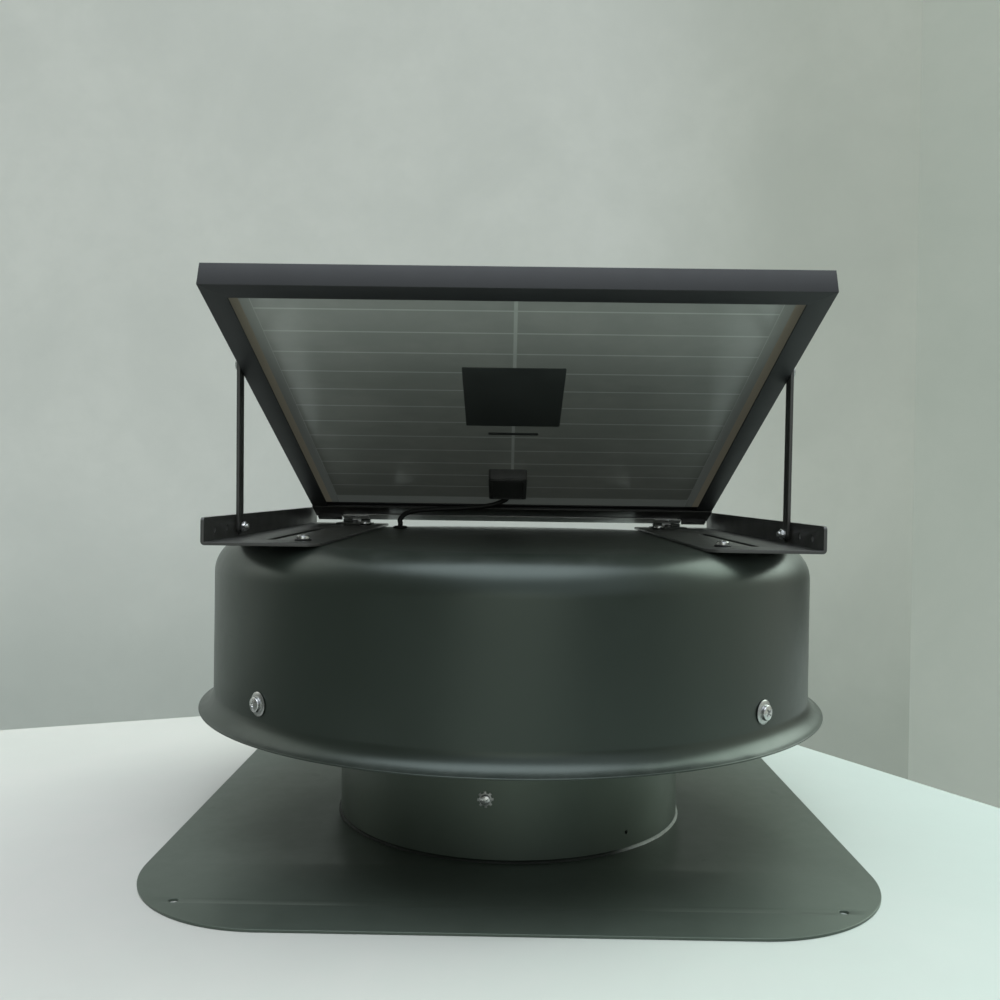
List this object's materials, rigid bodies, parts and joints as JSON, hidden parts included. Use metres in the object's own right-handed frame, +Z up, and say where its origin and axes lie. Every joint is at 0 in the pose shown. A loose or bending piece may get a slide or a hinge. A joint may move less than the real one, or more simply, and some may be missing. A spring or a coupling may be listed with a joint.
{
  "type": "solar attic fan",
  "caption": "Roof ventilator with a square flashing, round neck and spun hood over a motor fan, and a hinged solar panel held up by struts.",
  "frame": {"origin": "centre of the underside of the roof flashing", "axes": "+Z up along the neck; -Y towards the raised edge of the panel; +Y towards the hinges; X along the hinge line"},
  "size_m": [0.56, 0.56, 0.453],
  "materials": {
    "hood_paint": "satin dark green-grey powder coat",
    "sealant": "matt grey sealant",
    "zinc_steel": "bright zinc plate",
    "motor_casting": "fine cast, dark",
    "winding_copper": "varnished winding and laminations",
    "magnet_steel": "ground",
    "fan_aluminium": "mill finish",
    "hub_plastic": "moulded",
    "cable_rubber": "matt black",
    "black_coat": "matt black powder coat",
    "strip_aluminium": "dull anodised",
    "frame_black": "satin black anodised",
    "panel_glass": "clear tempered, slight texture",
    "cell_silicon": "dark blue monocrystalline",
    "backsheet_film": "translucent white film",
    "black_plastic": "matt black"
  },
  "bodies": {
    "base": {"flashing": "hood_paint", "neck_collar": "hood_paint", "neck_seam_bead": "sealant", "hood_shell": "hood_paint", "hood_support_arms": "zinc_steel", "support_arm_rivets": "zinc_steel", "hood_screws": "zinc_steel", "hood_screw_washers": "zinc_steel", "hood_screw_nuts": "zinc_steel", "neck_screws": "zinc_steel", "neck_star_washers": "zinc_steel", "motor_mount": "zinc_steel", "motor_housing": "motor_casting", "motor_end_cap": "motor_casting", "motor_stator": "winding_copper", "motor_bearings": "zinc_steel", "motor_fixing_screws": "zinc_steel", "inlet_guard": "zinc_steel", "guard_clips": "zinc_steel", "motor_cable": "cable_rubber", "cable_grommet": "cable_rubber", "panel_cable": "cable_rubber", "bracket_left": "black_coat", "bracket_right": "black_coat", "bracket_screws": "zinc_steel", "bracket_sealing_washers": "cable_rubber", "bracket_nuts": "zinc_steel", "hinge_lower_leaves": "black_coat", "hinge_lower_screws": "zinc_steel", "hinge_lower_nuts": "zinc_steel", "hinge_pins": "zinc_steel", "strut_lower_bolts": "zinc_steel", "strut_lower_nuts": "zinc_steel"},
    "panel": {"hinge_upper_leaves": "zinc_steel", "hinge_upper_rivets": "zinc_steel", "hinge_strip": "strip_aluminium", "hinge_rail": "black_coat", "panel_rail_front": "frame_black", "panel_rail_rear": "frame_black", "panel_rail_left": "frame_black", "panel_rail_right": "frame_black", "panel_glass": "panel_glass", "solar_cells": "cell_silicon", "backsheet": "backsheet_film", "label_plate": "black_plastic", "label_strip": "black_plastic", "junction_box": "black_plastic", "junction_box_lid": "black_plastic", "strut_upper_bolts": "zinc_steel", "strut_upper_nuts": "zinc_steel"},
    "fan": {"motor_shaft": "zinc_steel", "motor_rotor": "magnet_steel", "fan_hub": "hub_plastic", "fan_blades": "fan_aluminium", "fan_lock_nut": "zinc_steel"},
    "left_strut": {"strut_left": "black_coat"},
    "right_strut": {"strut_right": "black_coat"}
  },
  "joints": [
    {"name": "fan_spin", "type": "hinge", "parent": "base", "child": "fan", "pos_m": [0, 0, 0.031], "axis": [0, 0, 1], "continuous": true},
    {"name": "panel_tilt", "type": "hinge", "parent": "base", "child": "panel", "pos_m": [0, 0.22, 0.2561], "axis": [-1, 0, 0], "range_deg": [0, 40], "deforming": ["panel_cable"]},
    {"name": "strut_swing_left", "type": "hinge", "parent": "panel", "child": "left_strut", "pos_m": [-0.22665, -0.11099, 0.39531], "axis": [-1, 0, 0], "range_deg": [-40, 0]},
    {"name": "strut_swing_right", "type": "hinge", "parent": "panel", "child": "right_strut", "pos_m": [0.22665, -0.11099, 0.39531], "axis": [-1, 0, 0], "range_deg": [-40, 0]}
  ],
  "couplings": [
    {"joint": "strut_swing_left", "follows": "panel_tilt", "ratio": -1},
    {"joint": "strut_swing_right", "follows": "panel_tilt", "ratio": -1}
  ]
}
